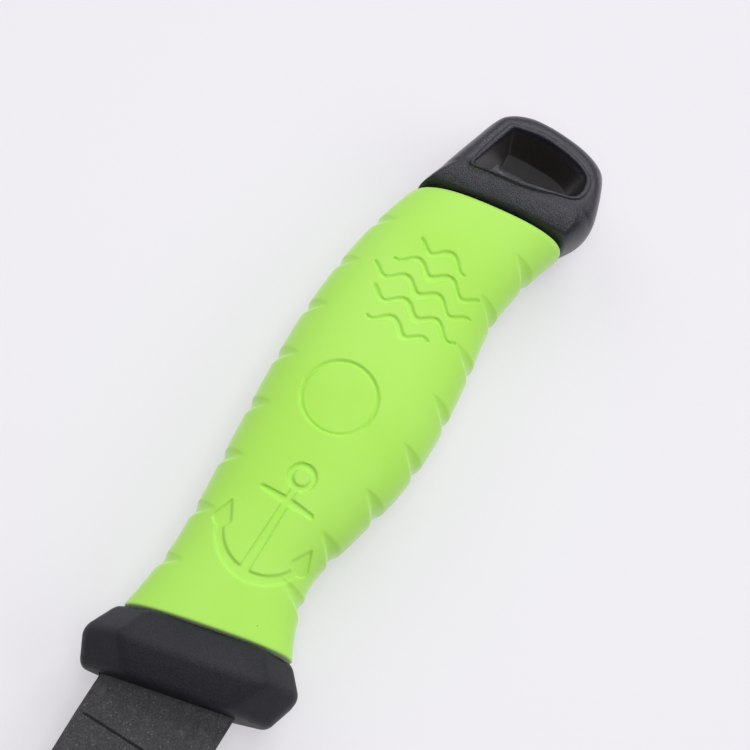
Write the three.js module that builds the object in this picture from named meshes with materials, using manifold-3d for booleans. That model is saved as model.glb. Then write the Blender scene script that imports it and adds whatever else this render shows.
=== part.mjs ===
// Fixed-blade fishing knife: a coated fillet blade whose hidden tang runs through a moulded guard
// into a core, with a soft grip moulded round the core and a butt with a lanyard eye behind it.
// Millimetres. The knife lies on its side: +X to the blade's tip, +Y to its cutting edge, +Z up.
// Inside this file Z = 0 is the blade's middle plane and X = 0 lies just ahead of the guard;
// the group is moved at the end so that the origin is the middle of the whole knife's underside.

import * as THREE from "three";
import { mergeVertices } from "three/addons/utils/BufferGeometryUtils.js";
import Module from "manifold-3d";

const wasm = await Module();
wasm.setup();

// Driving dimensions

const GAP = 0.3; // between pieces that seat on each other
const OVERCUT = 2; // how far a cutter runs past the face that it opens

// Blade
const BLADE_LENGTH = 178; // guard to tip
const BLADE_WIDTH = 25; // at the heel
const BLADE_THICKNESS = 2.2;
const SPINE_Y = -12.5; // the back of the blade at the heel
const SPINE_DIP = 2.4; // how far the back sinks in the middle, which lifts the point
const TIP_RISE = 1.2; // the point stands this far inside the back's line
const TIP_THICKNESS = 1.1;
const RICASSO_LENGTH = 9; // flat, unground steel in front of the guard
const PLUNGE_RUN = 1.4; // the grind reaches its depth over this length
const GRIND_MARGIN = 1.2; // flat strip left along the back
const EDGE_BEVEL = 1.1; // width of the sharpened bevel
const EDGE_SHOULDER = 0.55; // thickness where the bevel starts
const EDGE_LAND = 0.08; // thickness of the very edge

// Tang
const TANG_WIDTH = 14;
const TANG_LENGTH = 92; // behind the guard's front
const TANG_END_RADIUS = 5;

// Guard: a bar set at a slant across the knife, ridged all the way round
const GUARD_SLANT = THREE.MathUtils.degToRad(13.2);
const GUARD_FACE = 1.2; // front face, behind X = 0 on the knife's axis
const GUARD_RIDGE_SETBACK = 7.6; // the ridge, behind X = 0
const GUARD_DEPTH = 13.8; // rear face, behind X = 0
const GUARD_RIDGE_LAND = 1.4; // flat along the ridge's crest
const GUARD_RIDGE = { middle: 2.4, length: 20.4, thickness: 12, cutLength: 7, cutThickness: 7 }; // half sizes
const GUARD_FRONT = { middle: 1.4, length: 18, thickness: 9, cutLength: 8.5, cutThickness: 6.6 };
const GUARD_REAR = { middle: 3, length: 16.9, thickness: 9.9, cutLength: 6.5, cutThickness: 7.4 };
const GUARD_CORNER = 1.8; // rounding of the eight corners, seen along the knife

// Grip
const GRIP_WALL = 3.2; // soft sleeve over the core
const GRIP_REAR_X = -113.6; // rear end on the knife's axis
const GRIP_REAR_SLANT = THREE.MathUtils.degToRad(8.6);
const GRIP_SQUARENESS = 2.5; // 2 is an ellipse, more is squarer
const GRIP_LIP = 1.6; // rounding of the rear end
const NOTCH_PITCH = 11.25;
const NOTCH_COUNT = 8;
const NOTCH_RUN = 2.7; // scooped side, towards the butt
const NOTCH_STEP = 0.9; // short, straight side, towards the guard
const NOTCH_LEAN = 0.5; // shift towards the butt for each unit in from the flank
// For each flank: the notch nearest the guard, its depth, and how far it runs onto the face
const EDGE_NOTCHES = { firstX: -26.5, depth: 0.8, reach: 5.4 };
const SPINE_NOTCHES = { firstX: -20.6, depth: 0.58, reach: 3.8 };
const SEAL_RADIUS = 7.3; // plain round recess on each face
const SEAL_DEPTH = 0.4;
const SEAL_CENTRE = { x: -63.2, y: -2.5 };

// Core
const CORE_SPIGOT = { length: 5, width: 18, thickness: 8, y: 1.5 }; // plugs into the guard
const PIN_RADIUS = 2;
const PIN_INSET = 0.4; // a pin's end lies this far under the core's surface
const TANG_PIN_FRONT = 36; // front pin, behind X = 0
const TANG_PIN_END = 14; // rear pin, ahead of the tang's end
const TANG_PIN_X = [-TANG_PIN_FRONT, TANG_PIN_END - TANG_LENGTH];

// Butt
const BUTT_END_X = -137.3;
const BUTT_COVE = 6.4; // half thickness where it meets the grip
const BUTT_CROWN = 9.8; // half thickness round the eye
const BUTT_COVE_RUN = 6; // from cove to crown
const BUTT_END_HALF = 7.2; // half thickness at the rear end
const BUTT_SQUARENESS = 2.8;
const TENON = { length: 16, width: 14, thickness: 6.4, y: 3.2 }; // plugs into the core
const BUTT_PIN_RADIUS = 1.5;
const BUTT_PIN_SETBACK = 8; // ahead of the grip's rear end
const EYE_CORNER = 1.8;
const EYE_DRAFT = 1.8; // the eye narrows this much from its upper rim to the middle plane
const EYE_FLARE = 0.3; // and opens again by this much to its lower rim

// Outlines of the handle, seen on its side, as points (x, y) from the guard to the butt

const GRIP_SPINE = [
  [-10, -15.9],
  [-24, -14.4],
  [-36, -14.9],
  [-52, -16.4],
  [-68, -17.7],
  [-82, -17.9],
  [-96, -16.7],
  [-107, -14.4],
  [-113, -12.2],
];
const GRIP_EDGE = [
  [-18, 16.2],
  [-25, 13.2],
  [-33, 11.5],
  [-44, 13.9],
  [-56, 16.6],
  [-68, 17.4],
  [-82, 16.3],
  [-95, 14.7],
  [-106, 16],
  [-117, 19.3],
];
const GRIP_HALF_THICKNESS = [
  [-10, 9.4],
  [-28, 10.2],
  [-64, 12],
  [-96, 11],
  [-118, 9.6],
];
const BUTT_SPINE = [
  [-111, -12.8],
  [-121, -9.95],
  [-131, -7],
  [-134.4, -5],
  [-137.3, 1],
];
const BUTT_EDGE = [
  [-115, 18.6],
  [-119, 20.3],
  [-123.5, 21.5],
  [-130, 20.2],
  [-133.8, 18.3],
  [-137.3, 11.5],
];
const EYE_OUTLINE = [
  [-119.1, -5.4],
  [-130.4, -2.4],
  [-132, 3.4],
  [-131.2, 10.6],
  [-129.2, 15.4],
  [-124.2, 15.4],
];

// Solids

/** Height of a smooth line through points (x, y), sorted along x, at one x. */
function along(points, x) {
  const sorted = [...points].sort((a, b) => a[0] - b[0]);
  const last = sorted.length - 1;
  const at = THREE.MathUtils.clamp(x, sorted[0][0], sorted[last][0]);
  let i = 0;
  while (i < last - 1 && at > sorted[i + 1][0]) i += 1;
  const slope = (k) => {
    const a = sorted[Math.max(k - 1, 0)];
    const b = sorted[Math.min(k + 1, last)];
    return (b[1] - a[1]) / (b[0] - a[0]);
  };
  const [x0, y0] = sorted[i];
  const [x1, y1] = sorted[i + 1];
  const run = x1 - x0;
  const t = (at - x0) / run;
  const t2 = t * t;
  const t3 = t2 * t;
  return (
    (2 * t3 - 3 * t2 + 1) * y0 +
    (t3 - 2 * t2 + t) * run * slope(i) +
    (3 * t2 - 2 * t3) * y1 +
    (t3 - t2) * run * slope(i + 1)
  );
}

/** A closed solid from a geometry class or a loft. */
function solid(geometry) {
  const bare = geometry.clone();
  bare.deleteAttribute("normal");
  bare.deleteAttribute("uv");
  const merged = mergeVertices(bare, 1e-4);
  const made = new wasm.Manifold(
    new wasm.Mesh({
      numProp: 3,
      vertProperties: merged.attributes.position.array,
      triVerts: new Uint32Array(merged.index.array),
    }),
  );
  return made;
}

/** A solid back as a three.js geometry. */
function geometryOf(made) {
  const mesh = made.getMesh();
  const geometry = new THREE.BufferGeometry();
  geometry.setAttribute("position", new THREE.BufferAttribute(new Float32Array(mesh.vertProperties), 3));
  geometry.setIndex(new THREE.BufferAttribute(new Uint32Array(mesh.triVerts), 1));
  geometry.computeVertexNormals();
  return geometry;
}

/** Skin through rings of points, all with the same count, closed at both ends by a fan. */
function loft(rings) {
  const count = rings[0].length;
  const points = rings.flat();
  const faces = [];
  for (let r = 0; r < rings.length - 1; r += 1) {
    for (let i = 0; i < count; i += 1) {
      const a = r * count + i;
      const b = r * count + ((i + 1) % count);
      faces.push(a, b, b + count, a, b + count, a + count);
    }
  }
  const cap = (ring, first, turned) => {
    const middle = points.length;
    const centre = new THREE.Vector3();
    ring.forEach((p) => centre.addScaledVector(p, 1 / count));
    points.push(centre);
    for (let i = 0; i < count; i += 1) {
      const a = first + i;
      const b = first + ((i + 1) % count);
      faces.push(...(turned ? [middle, b, a] : [middle, a, b]));
    }
  };
  cap(rings[0], 0, true);
  cap(rings.at(-1), (rings.length - 1) * count, false);
  const geometry = new THREE.BufferGeometry().setFromPoints(points);
  geometry.setIndex(faces);
  const made = solid(geometry);
  if (made.volume() > 0) return made;
  geometry.setIndex(faces.reverse());
  return solid(geometry);
}

/** A straight-sided plate: an outline, with its holes, drawn out along Z about the middle plane. */
function plate(shape, thickness) {
  const geometry = new THREE.ExtrudeGeometry(shape, {
    depth: thickness,
    bevelEnabled: false,
    curveSegments: 10,
  });
  geometry.translate(0, 0, -thickness / 2);
  return solid(geometry);
}

/** A bar along Z. */
function post(radius, length, x, y, sides = 20) {
  const geometry = new THREE.CylinderGeometry(radius, radius, length, sides);
  geometry.rotateX(Math.PI / 2);
  geometry.translate(x, y, 0);
  return solid(geometry);
}

/** A box between two X planes, centred on a Y and on the middle plane. */
function bar(fromX, toX, width, thickness, y) {
  const geometry = new THREE.BoxGeometry(Math.abs(toX - fromX), width, thickness);
  geometry.translate((fromX + toX) / 2, y, 0);
  return solid(geometry);
}

/** Ring of a squared ellipse between two Y values, at a plane sheared along X. */
function squaredRing(x, shear, ySpine, yEdge, half, squareness, steps) {
  const centre = (ySpine + yEdge) / 2;
  const wide = (yEdge - ySpine) / 2;
  const power = 2 / squareness;
  return Array.from({ length: steps }, (_, i) => {
    const angle = (i / steps) * 2 * Math.PI;
    const c = Math.cos(angle);
    const s = Math.sin(angle);
    const y = centre + wide * Math.sign(c) * Math.abs(c) ** power;
    const z = half * Math.sign(s) * Math.abs(s) ** power;
    return new THREE.Vector3(x - shear * y, y, z);
  });
}

/** Points of a closed outline whose corners are each rounded by a short curve. */
function rounded(corners, radius) {
  return corners.flatMap((corner, i) => {
    const before = corners[(i + corners.length - 1) % corners.length];
    const after = corners[(i + 1) % corners.length];
    const start = corner.clone().lerp(before, Math.min(0.45, radius / corner.distanceTo(before)));
    const end = corner.clone().lerp(after, Math.min(0.45, radius / corner.distanceTo(after)));
    return new THREE.QuadraticBezierCurve(start, corner, end).getPoints(2);
  });
}

/** Ring of a rounded octagon in the guard's slanted plane, set back from X = 0. */
function guardRing(setback, { middle, length, thickness, cutLength, cutThickness }) {
  const quarter = [
    [length, thickness - cutThickness],
    [length - cutLength, thickness],
  ];
  const corners = [
    ...quarter,
    ...[...quarter].reverse().map(([v, z]) => [-v, z]),
    ...quarter.map(([v, z]) => [-v, -z]),
    ...[...quarter].reverse().map(([v, z]) => [v, -z]),
  ].map(([v, z]) => new THREE.Vector2(middle + v, z));
  return rounded(corners, GUARD_CORNER).map((p) => guardPoint(setback, p.x, p.y));
}

/** A point given by its setback from X = 0, its place along the guard and its height. */
function guardPoint(setback, v, z) {
  const x = -setback * Math.cos(GUARD_SLANT) - v * Math.sin(GUARD_SLANT);
  const y = -setback * Math.sin(GUARD_SLANT) + v * Math.cos(GUARD_SLANT);
  return new THREE.Vector3(x, y, z);
}

/** Where a plane parallel to the guard's front, set back from X = 0, crosses a given Y. */
function guardPlaneX(setback, y) {
  return -setback / Math.cos(GUARD_SLANT) - y * Math.tan(GUARD_SLANT);
}

// Blade

/** The back of the blade: straight at the heel, sinking a little and lifting to the point. */
function spineLine(x) {
  const t = THREE.MathUtils.clamp((x - RICASSO_LENGTH) / (BLADE_LENGTH - RICASSO_LENGTH), 0, 1);
  return SPINE_Y + SPINE_DIP * Math.sin(Math.PI * t ** 1.2) + TIP_RISE * t ** 4;
}

/** The cutting edge: nearly straight for half its length, then sweeping up to the point. */
function edgeLine(x) {
  const t = THREE.MathUtils.clamp((x - RICASSO_LENGTH) / (BLADE_LENGTH - RICASSO_LENGTH), 0, 1);
  const heel = SPINE_Y + BLADE_WIDTH;
  const tip = SPINE_Y + TIP_RISE;
  const taper = 0.34 * t + 0.66 * (1 - Math.sqrt(Math.max(0, 1 - t ** 3.2)));
  return heel + (tip - heel) * taper;
}

/** One cross-section of the blade; ground is 0 on the flat ricasso and 1 where the grind is full. */
function bladeRing(x, ground) {
  const t = THREE.MathUtils.clamp((x - RICASSO_LENGTH) / (BLADE_LENGTH - RICASSO_LENGTH), 0, 1);
  const back = spineLine(x);
  const edge = edgeLine(x);
  const width = edge - back;
  const half = THREE.MathUtils.lerp(BLADE_THICKNESS, TIP_THICKNESS, t) / 2;
  const grindTop = back + Math.min(GRIND_MARGIN, width * 0.3);
  const bevelTop = edge - Math.min(EDGE_BEVEL, width * 0.3);
  const shoulder = THREE.MathUtils.lerp(half, Math.min(EDGE_SHOULDER / 2, half), ground);
  const land = THREE.MathUtils.lerp(half, EDGE_LAND / 2, ground);
  const side = [
    [back, half],
    [grindTop, half],
    [bevelTop, shoulder],
    [edge, land],
  ];
  const mirrored = [...side].reverse().map(([y, z]) => [y, -z]);
  return [...side, ...mirrored].map(([y, z]) => new THREE.Vector3(x, y, z));
}

/** The blade with its tang: one strip of steel. */
function makeBlade() {
  const overlap = 2;
  const plungeEnd = RICASSO_LENGTH + PLUNGE_RUN;
  const stations = [[RICASSO_LENGTH - overlap, 0], [RICASSO_LENGTH, 0], [plungeEnd, 1]];
  const steps = 26;
  for (let i = 1; i <= steps; i += 1) {
    const t = i / steps;
    const eased = 1 - (1 - t) ** 1.5;
    stations.push([THREE.MathUtils.lerp(plungeEnd, BLADE_LENGTH - 0.6, eased), 1]);
  }
  const ground = loft(stations.map(([x, share]) => bladeRing(x, share)));

  const heel = SPINE_Y + BLADE_WIDTH;
  const outline = new THREE.Shape();
  const shoulderX = (y) => guardPlaneX(GUARD_FACE - GAP, y);
  outline.moveTo(RICASSO_LENGTH, SPINE_Y);
  outline.lineTo(RICASSO_LENGTH, heel);
  outline.lineTo(shoulderX(heel), heel);
  outline.lineTo(shoulderX(TANG_WIDTH / 2), TANG_WIDTH / 2);
  outline.lineTo(-TANG_LENGTH + TANG_END_RADIUS, TANG_WIDTH / 2);
  outline.absarc(
    -TANG_LENGTH + TANG_END_RADIUS,
    TANG_WIDTH / 2 - TANG_END_RADIUS,
    TANG_END_RADIUS,
    Math.PI / 2,
    Math.PI,
  );
  outline.absarc(
    -TANG_LENGTH + TANG_END_RADIUS,
    TANG_END_RADIUS - TANG_WIDTH / 2,
    TANG_END_RADIUS,
    Math.PI,
    1.5 * Math.PI,
  );
  outline.lineTo(shoulderX(-TANG_WIDTH / 2), -TANG_WIDTH / 2);
  outline.lineTo(shoulderX(SPINE_Y), SPINE_Y);
  outline.closePath();
  for (const x of TANG_PIN_X) {
    const hole = new THREE.Path();
    hole.absarc(x, 0, PIN_RADIUS + GAP, 0, 2 * Math.PI, true);
    outline.holes.push(hole);
  }
  return ground.add(plate(outline, BLADE_THICKNESS));
}

// Guard

/** The ridged bar, with the slot for the tang and the pocket for the core's spigot. */
function makeGuard() {
  const body = loft([
    guardRing(GUARD_FACE, GUARD_FRONT),
    guardRing(GUARD_RIDGE_SETBACK - GUARD_RIDGE_LAND / 2, GUARD_RIDGE),
    guardRing(GUARD_RIDGE_SETBACK + GUARD_RIDGE_LAND / 2, GUARD_RIDGE),
    guardRing(GUARD_DEPTH, GUARD_REAR),
  ]);
  const reach = GUARD_DEPTH * 2;
  const slot = bar(-reach, reach, TANG_WIDTH + 2 * GAP, BLADE_THICKNESS + 2 * GAP, 0);
  const pocket = spigot(GAP);
  return body.subtract(slot).subtract(pocket);
}

/** The core's plug in the guard's rear, grown by a clearance for its pocket. */
function spigot(clearance) {
  const half = CORE_SPIGOT.width / 2 + clearance;
  const front = GUARD_DEPTH - CORE_SPIGOT.length - clearance;
  const rear = GUARD_DEPTH + OVERCUT;
  const low = CORE_SPIGOT.y - half;
  const high = CORE_SPIGOT.y + half;
  const outline = new THREE.Shape();
  outline.moveTo(guardPlaneX(front, low), low);
  outline.lineTo(guardPlaneX(rear, low), low);
  outline.lineTo(guardPlaneX(rear, high), high);
  outline.lineTo(guardPlaneX(front, high), high);
  outline.closePath();
  return plate(outline, CORE_SPIGOT.thickness + 2 * clearance);
}

// Handle lofts

const GRIP_FRONT_X = guardPlaneX(GUARD_DEPTH + GAP, 0);
const FRONT_SHEAR = Math.tan(GUARD_SLANT);
const REAR_SHEAR = Math.tan(GRIP_REAR_SLANT);

/** How deep a flank's notches are, at one X and one distance in from the flank. */
function notch(x, inward, { firstX, depth, reach }) {
  const taper = Math.max(0, 1 - inward / reach) ** 0.8;
  if (taper === 0) return 0;
  let cut = 0;
  for (let i = 0; i < NOTCH_COUNT; i += 1) {
    const from = x + NOTCH_LEAN * inward - (firstX - i * NOTCH_PITCH);
    const side = from > 0 ? from / NOTCH_STEP : -from / (NOTCH_RUN * taper);
    const share = 1 - Math.min(side, 1);
    cut = Math.max(cut, from > 0 ? share : share * (2 - share));
  }
  return depth * taper * cut;
}

/** Rings of the handle between its slanted ends, inset by a wall; notched only on the outside. */
function handleRings(stations, inset, steps, notched) {
  return stations.map((x) => {
    const share = (GRIP_FRONT_X - x) / (GRIP_FRONT_X - GRIP_REAR_X);
    const shear = THREE.MathUtils.lerp(FRONT_SHEAR, REAR_SHEAR, THREE.MathUtils.clamp(share, 0, 1));
    const spineX = x - shear * along(GRIP_SPINE, x);
    const edgeX = x - shear * along(GRIP_EDGE, x);
    const spine = along(GRIP_SPINE, spineX) + inset;
    const edge = along(GRIP_EDGE, edgeX) - inset;
    const half = along(GRIP_HALF_THICKNESS, x) - inset;
    const ring = squaredRing(x, shear, spine, edge, half, GRIP_SQUARENESS, steps);
    if (!notched) return ring;
    const centre = (spine + edge) / 2;
    const wide = (edge - spine) / 2;
    return ring.map((p) => {
      const across = p.y - centre;
      const notches = across > 0 ? EDGE_NOTCHES : SPINE_NOTCHES;
      const cut = notch(p.x, wide - Math.abs(across), notches);
      const outY = Math.abs(across / wide) ** (GRIP_SQUARENESS - 1) / wide;
      const outZ = Math.abs(p.z / half) ** (GRIP_SQUARENESS - 1) / half;
      const out = new THREE.Vector3(0, Math.sign(across) * outY, Math.sign(p.z) * outZ).normalize();
      return p.clone().addScaledVector(out, -cut);
    });
  });
}

/** Stations spread evenly from one X to another. */
function spread(from, to, count) {
  return Array.from({ length: count + 1 }, (_, i) => THREE.MathUtils.lerp(from, to, i / count));
}

const CORE_STATIONS = spread(GRIP_FRONT_X, GRIP_REAR_X + GAP, 14);
const CORE_STEPS = 28;

/** The soft sleeve: notched flanks, a rounded rear lip and a plain round recess on each face. */
function makeGrip() {
  const stations = spread(GRIP_FRONT_X, GRIP_REAR_X + GRIP_LIP, 120);
  const rings = handleRings(stations, 0, 36, true);
  const lip = 3;
  for (let i = 1; i <= lip; i += 1) {
    const angle = (i / lip) * (Math.PI / 2);
    const x = GRIP_REAR_X + GRIP_LIP * (1 - Math.sin(angle));
    const inset = GRIP_LIP * (1 - Math.cos(angle));
    rings.push(handleRings([x], inset, 36, false)[0]);
  }
  const boreStations = [GRIP_FRONT_X + OVERCUT, ...CORE_STATIONS, GRIP_REAR_X - OVERCUT];
  const bore = loft(handleRings(boreStations, GRIP_WALL - GAP, CORE_STEPS, false));
  const seat = along(GRIP_HALF_THICKNESS, SEAL_CENTRE.x) - SEAL_DEPTH;
  const recess = (z) => {
    const disc = post(SEAL_RADIUS, OVERCUT * 2, SEAL_CENTRE.x, SEAL_CENTRE.y, 36);
    return disc.translate([0, 0, z]);
  };
  return loft(rings)
    .subtract(bore)
    .subtract(recess(seat + OVERCUT))
    .subtract(recess(-seat - OVERCUT));
}

/** The core: a spigot for the guard, a slot for the tang, a pocket for the butt, holes for pins. */
function makeCore() {
  const body = loft(handleRings(CORE_STATIONS, GRIP_WALL, CORE_STEPS, false));
  const slot = bar(
    GUARD_DEPTH,
    -TANG_LENGTH - GAP,
    TANG_WIDTH + 2 * GAP,
    BLADE_THICKNESS + 2 * GAP,
    0,
  );
  let core = body.add(spigot(0)).subtract(slot).subtract(tenon(GAP));
  for (const pin of PINS) {
    core = core.subtract(post(pin.radius + GAP, 4 * GUARD_RIDGE.thickness, pin.x, pin.y));
  }
  return core;
}

// Butt

/** The butt's plug in the core's rear, grown by a clearance for its pocket. */
function tenon(clearance) {
  const front = GRIP_REAR_X + TENON.length + clearance;
  return bar(
    front,
    GRIP_REAR_X - BUTT_COVE_RUN,
    TENON.width + 2 * clearance,
    TENON.thickness + 2 * clearance,
    TENON.y,
  );
}

/** Half thickness of the butt: a cove beside the grip, a crown round the eye, a thinner end. */
function buttHalf(x) {
  const run = GRIP_REAR_X - GAP - x;
  if (run < BUTT_COVE_RUN) {
    const rise = Math.sin((Math.max(run, 0) / BUTT_COVE_RUN) * (Math.PI / 2));
    return THREE.MathUtils.lerp(BUTT_COVE, BUTT_CROWN, rise);
  }
  const back = (run - BUTT_COVE_RUN) / (GRIP_REAR_X - GAP - BUTT_COVE_RUN - BUTT_END_X);
  return THREE.MathUtils.lerp(BUTT_CROWN, BUTT_END_HALF, back ** 3);
}

/** The butt: a hooked block with a lanyard eye right through it. */
function makeButt() {
  const front = GRIP_REAR_X - GAP;
  const stations = [...spread(front, BUTT_END_X + 4, 14), ...spread(BUTT_END_X + 3, BUTT_END_X, 3)];
  const rings = stations.map((x) => {
    const share = (front - x) / (front - BUTT_END_X);
    const shear = REAR_SHEAR * (1 - share);
    const spine = along(BUTT_SPINE, x - shear * along(BUTT_SPINE, x));
    const edge = along(BUTT_EDGE, x - shear * along(BUTT_EDGE, x));
    return squaredRing(x, shear, spine, edge, buttHalf(x), BUTT_SQUARENESS, 36);
  });
  const pin = PINS.at(-1);
  return loft(rings)
    .add(tenon(0))
    .subtract(eye())
    .subtract(post(pin.radius + GAP, 4 * BUTT_CROWN, pin.x, pin.y));
}

/** The lanyard eye: it narrows from the upper rim to the middle plane, then stays almost straight. */
function eye() {
  const corners = EYE_OUTLINE.map(([x, y]) => new THREE.Vector2(x, y));
  const rim = rounded(corners, EYE_CORNER).map((p) => new THREE.Vector3(p.x, p.y, 0));
  const centre = new THREE.Vector3();
  rim.forEach((p) => centre.addScaledVector(p, 1 / rim.length));
  const reach = BUTT_CROWN + OVERCUT;
  const ring = (z, inset) =>
    rim.map((p) => {
      const out = p.clone().sub(centre);
      return p.clone().addScaledVector(out.normalize(), -inset).setZ(z);
    });
  const lower = EYE_DRAFT - EYE_FLARE;
  return loft([
    ring(reach, 0),
    ring(BUTT_CROWN, 0),
    ring(0, EYE_DRAFT),
    ring(-BUTT_CROWN, lower),
    ring(-reach, lower),
  ]);
}

// Pins

const PINS = [
  ...TANG_PIN_X.map((x) => ({ x, y: 0, radius: PIN_RADIUS })),
  { x: GRIP_REAR_X + BUTT_PIN_SETBACK, y: TENON.y, radius: BUTT_PIN_RADIUS },
];

/** A pin that ends just under the core's surface. */
function makePin({ x, y, radius }) {
  const half = along(GRIP_HALF_THICKNESS, x) - GRIP_WALL - PIN_INSET;
  return post(radius, 2 * half, x, y);
}

// Assembly

const steelCoated = { color: 0x2c2b2f, roughness: 0.55, metalness: 0.4 };
const hardPlastic = { color: 0x1d1c20, roughness: 0.5, metalness: 0 };
const corePlastic = { color: 0x2a2a2c, roughness: 0.6, metalness: 0 };
const softGrip = { color: 0x9fe04a, roughness: 0.65, metalness: 0 };
const bareSteel = { color: 0xb9bcc0, roughness: 0.35, metalness: 1 };

const knife = new THREE.Group();

/** Adds one named piece to the knife. */
function add(name, made, finish) {
  const mesh = new THREE.Mesh(geometryOf(made), new THREE.MeshStandardMaterial(finish));
  mesh.name = name;
  knife.add(mesh);
}

add("blade", makeBlade(), steelCoated);
add("guard", makeGuard(), hardPlastic);
add("handle_core", makeCore(), corePlastic);
add("grip_sleeve", makeGrip(), softGrip);
add("butt", makeButt(), hardPlastic);
add("tang_pin_front", makePin(PINS[0]), bareSteel);
add("tang_pin_rear", makePin(PINS[1]), bareSteel);
add("butt_pin", makePin(PINS[2]), bareSteel);

const box = new THREE.Box3().setFromObject(knife);
const middle = box.getCenter(new THREE.Vector3());
knife.position.set(-middle.x, -middle.y, -box.min.z);

const placed = new THREE.Group();
placed.add(knife);

export default placed;
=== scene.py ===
"""Fixed-blade fishing knife lying on its side: coated blade, ridged guard, soft grip, eyed butt.

Sizes are in millimetres on the knife's own axes: +X to the tip, +Y to the cutting edge, +Z up,
with Z = 0 on the blade's middle plane. Datum moves them into the shared frame, in metres.
"""

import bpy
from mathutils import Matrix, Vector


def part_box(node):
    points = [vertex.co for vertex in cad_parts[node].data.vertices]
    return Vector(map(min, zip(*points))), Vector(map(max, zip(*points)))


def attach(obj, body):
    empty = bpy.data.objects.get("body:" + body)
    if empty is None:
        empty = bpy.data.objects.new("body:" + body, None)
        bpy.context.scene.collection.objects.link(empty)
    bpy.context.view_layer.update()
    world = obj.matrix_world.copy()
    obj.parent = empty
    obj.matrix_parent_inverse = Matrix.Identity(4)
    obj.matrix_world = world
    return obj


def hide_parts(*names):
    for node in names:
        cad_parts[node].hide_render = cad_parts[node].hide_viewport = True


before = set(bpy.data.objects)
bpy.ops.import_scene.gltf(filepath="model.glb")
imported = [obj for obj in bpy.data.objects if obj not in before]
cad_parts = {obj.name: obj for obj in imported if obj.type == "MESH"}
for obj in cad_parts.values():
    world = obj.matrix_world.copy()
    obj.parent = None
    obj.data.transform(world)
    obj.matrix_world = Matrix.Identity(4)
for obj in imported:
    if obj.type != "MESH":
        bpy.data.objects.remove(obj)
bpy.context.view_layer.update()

import logging
import math
from dataclasses import dataclass, field
from enum import Enum
from typing import Callable, Sequence

import bmesh
import bpy
from mathutils import Matrix, Vector

log = logging.getLogger("fishing_knife")

Point = tuple[float, float]
Place = tuple[float, float, float]
Colour = tuple[float, float, float]
Material = bpy.types.Material
NodeTree = bpy.types.NodeTree
Object = bpy.types.Object
Socket = bpy.types.NodeSocket

GUARD_SLANT = math.radians(13.2)
BUTT_SLANT = math.radians(8.6)
QUARTER_TURN = math.pi / 2
MERGE_GAP = 1e-5
FULL_SPAN = (0.0, 1.0)
NOISE_SPAN = (0.3, 0.7)


class Slot(Enum):
    """Names of three material slots, which this script gives to no piece."""

    COATED_STEEL = "coated_steel"
    HARD_PLASTIC = "hard_plastic"
    SOFT_GRIP = "soft_grip"


class Flank(Enum):
    """The two long sides of the grip; the value is the side's direction along Y."""

    SPINE = -1
    EDGE = 1


# Small tools


def clamp(value: float, low: float = 0.0, high: float = 1.0) -> float:
    """The value, kept between two limits."""
    return max(low, min(high, value))


def mix(a: float, b: float, share: float) -> float:
    """The value a given share of the way from a to b."""
    return a + (b - a) * share


def ease(share: float) -> float:
    """A share from 0 to 1, eased at both ends."""
    t = clamp(share)
    return t * t * (3.0 - 2.0 * t)


def spread(start: float, stop: float, count: int) -> list[float]:
    """Values spaced evenly from start to stop, both included."""
    return [mix(start, stop, i / count) for i in range(count + 1)]


def curve_point(a: Vector, b: Vector, c: Vector, d: Vector, t: float) -> Vector:
    """A point between b and c on the smooth curve through four points.

    Args:
        a: the point before b.
        b: where the stretch starts.
        c: where it ends.
        d: the point after c.
        t: share of the way from b to c.

    Returns:
        The point.
    """
    bend = (2 * a - 5 * b + 4 * c - d) * t**2 + (3 * b - a - 3 * c + d) * t**3
    return 0.5 * (2 * b + (c - a) * t + bend)


@dataclass(frozen=True)
class Outline:
    """A smooth line y(x) through a few points."""

    points: tuple[Point, ...]

    def at(self, x: float) -> float:
        """The line's height at one x.

        Args:
            x: place along the line, held to the line's ends.

        Returns:
            The height there.
        """
        pts = sorted(self.points)
        last = len(pts) - 1
        place = clamp(x, pts[0][0], pts[last][0])
        i = 0
        while i < last - 1 and place > pts[i + 1][0]:
            i += 1
        (x0, y0), (x1, y1) = pts[i], pts[i + 1]
        run = x1 - x0
        t = (place - x0) / run
        return (
            (2 * t**3 - 3 * t**2 + 1) * y0
            + (t**3 - 2 * t**2 + t) * run * self._slope(pts, i)
            + (3 * t**2 - 2 * t**3) * y1
            + (t**3 - t**2) * run * self._slope(pts, i + 1)
        )

    @staticmethod
    def _slope(pts: Sequence[Point], k: int) -> float:
        """The slope at one of the line's points, from its neighbours.

        Args:
            pts: the line's points, in order.
            k: the point's number.

        Returns:
            The slope.
        """
        a = pts[max(k - 1, 0)]
        b = pts[min(k + 1, len(pts) - 1)]
        return (b[1] - a[1]) / (b[0] - a[0])


@dataclass(frozen=True)
class Datum:
    """Where the knife's own axes lie in the shared frame, in millimetres."""

    x: float
    y: float
    z: float

    @classmethod
    def from_blade(cls, tip_x: float, spine_y: float) -> "Datum":
        """The datum that puts the blade where the frame has it.

        Args:
            tip_x: the tip on the knife's own axes.
            spine_y: the back of the blade on the knife's own axes.

        Returns:
            The datum.
        """
        low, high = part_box("blade")
        return cls(high[0] * 1000 - tip_x, low[1] * 1000 - spine_y, 500 * (low[2] + high[2]))

    def matrix(self) -> Matrix:
        """The change from the knife's millimetres to the frame's metres."""
        return Matrix.Scale(0.001, 4) @ Matrix.Translation((self.x, self.y, self.z))


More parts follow.
